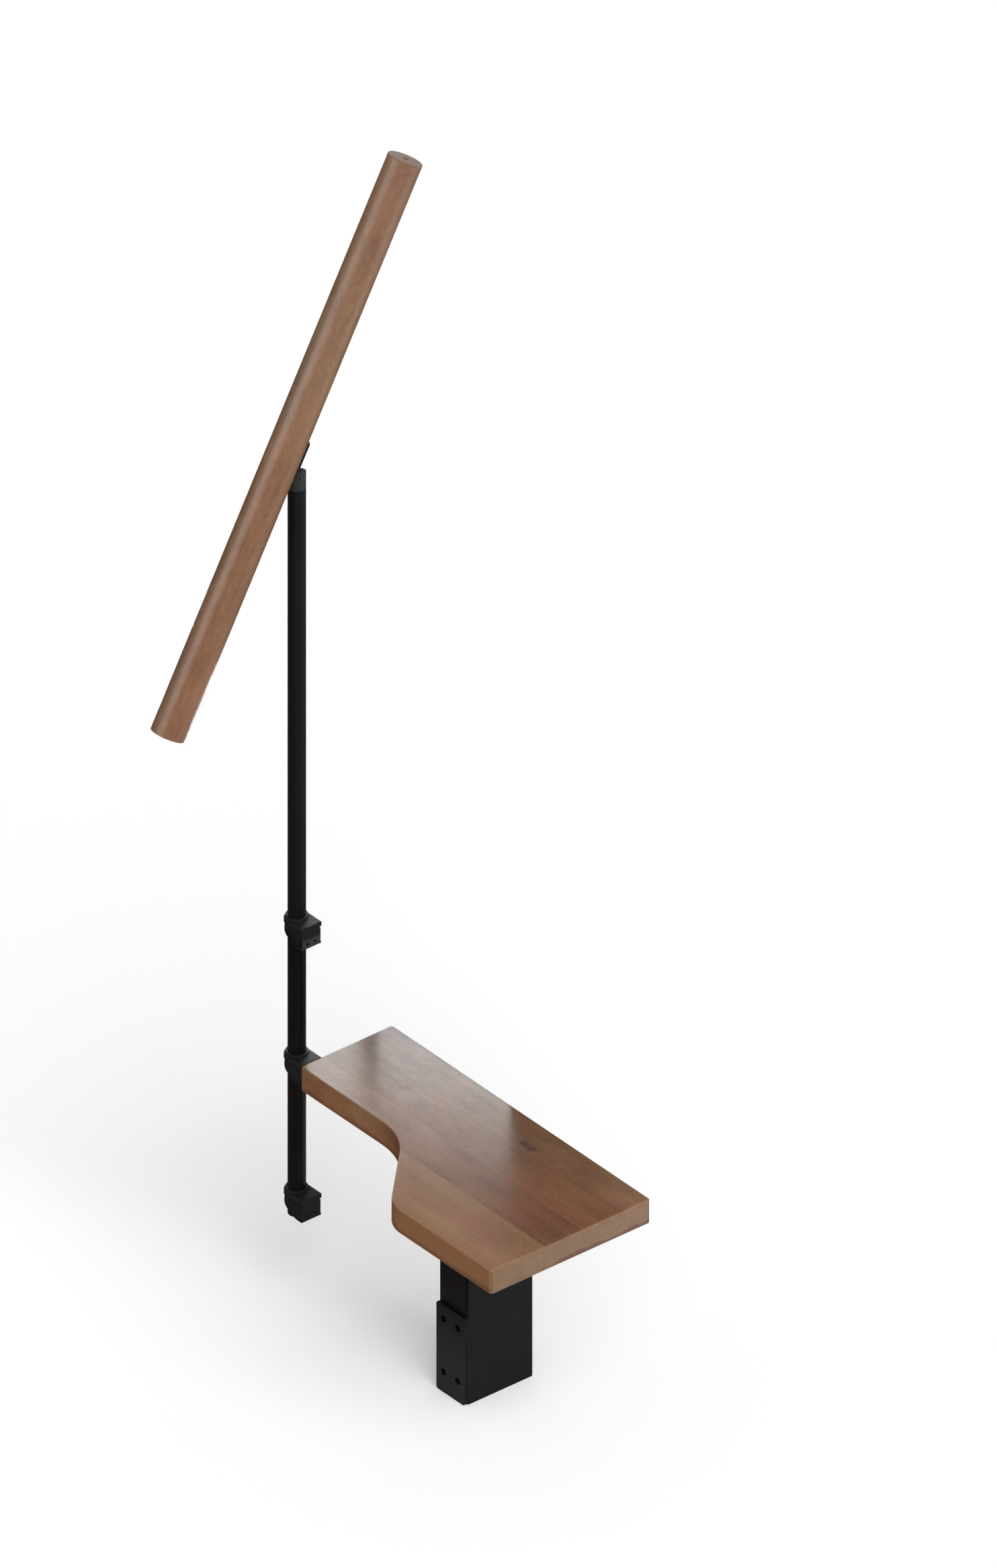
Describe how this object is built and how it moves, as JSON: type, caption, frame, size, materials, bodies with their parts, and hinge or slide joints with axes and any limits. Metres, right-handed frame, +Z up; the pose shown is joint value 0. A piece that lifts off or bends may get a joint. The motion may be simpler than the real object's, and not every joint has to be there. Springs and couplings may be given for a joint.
{
  "type": "stair step",
  "caption": "Paddle-shaped wooden stair tread on a black steel column, with a round baluster in moulded clamps and a pivoting length of wooden handrail.",
  "frame": {"origin": "centre of the four bolt holes on the front face of the coupling plate, where the module is bolted to the column of the module below", "axes": "+X along the tread to the climber's right, +Y the climbing direction, +Z up"},
  "size_m": [0.6019, 0.4553, 1.7739],
  "materials": {
    "tread_wood": "walnut-stained laminated hardwood under satin lacquer",
    "rail_wood": "walnut-stained round hardwood under satin lacquer",
    "black_steel": "satin black powder coat",
    "black_cast": "satin black coated die casting",
    "black_plastic": "fine-grained black moulding",
    "dark_screw": "black oxide",
    "zinc_screw": "bright zinc plate"
  },
  "bodies": {
    "module": {"baluster_cap": "black_cast", "baluster_foot_plug": "black_plastic", "baluster_tube": "black_steel", "column": "black_steel", "coupling_plate": "black_steel", "lower_clamp_body": "black_plastic", "lower_clamp_cover": "black_plastic", "lower_grub_screw": "dark_screw", "middle_clamp_body": "black_plastic", "middle_clamp_cover": "black_plastic", "middle_grub_screw": "dark_screw", "pivot_nut": "dark_screw", "pivot_screw": "dark_screw", "top_flange": "black_steel", "tread": "tread_wood", "tread_end_screws": "zinc_screw", "tread_screws": "zinc_screw", "upper_clamp_body": "black_plastic", "upper_clamp_cover": "black_plastic", "upper_grub_screw": "dark_screw"},
    "rail": {"rail_bracket": "black_steel", "rail_screws": "zinc_screw", "handrail": "rail_wood"}
  },
  "joints": [
    {"name": "rail_tilt", "type": "hinge", "parent": "module", "child": "rail", "pos_m": [-0.30385, -0.017, 1.259], "axis": [1, 0, 0], "range_deg": [-61.3, 13.6]}
  ]
}
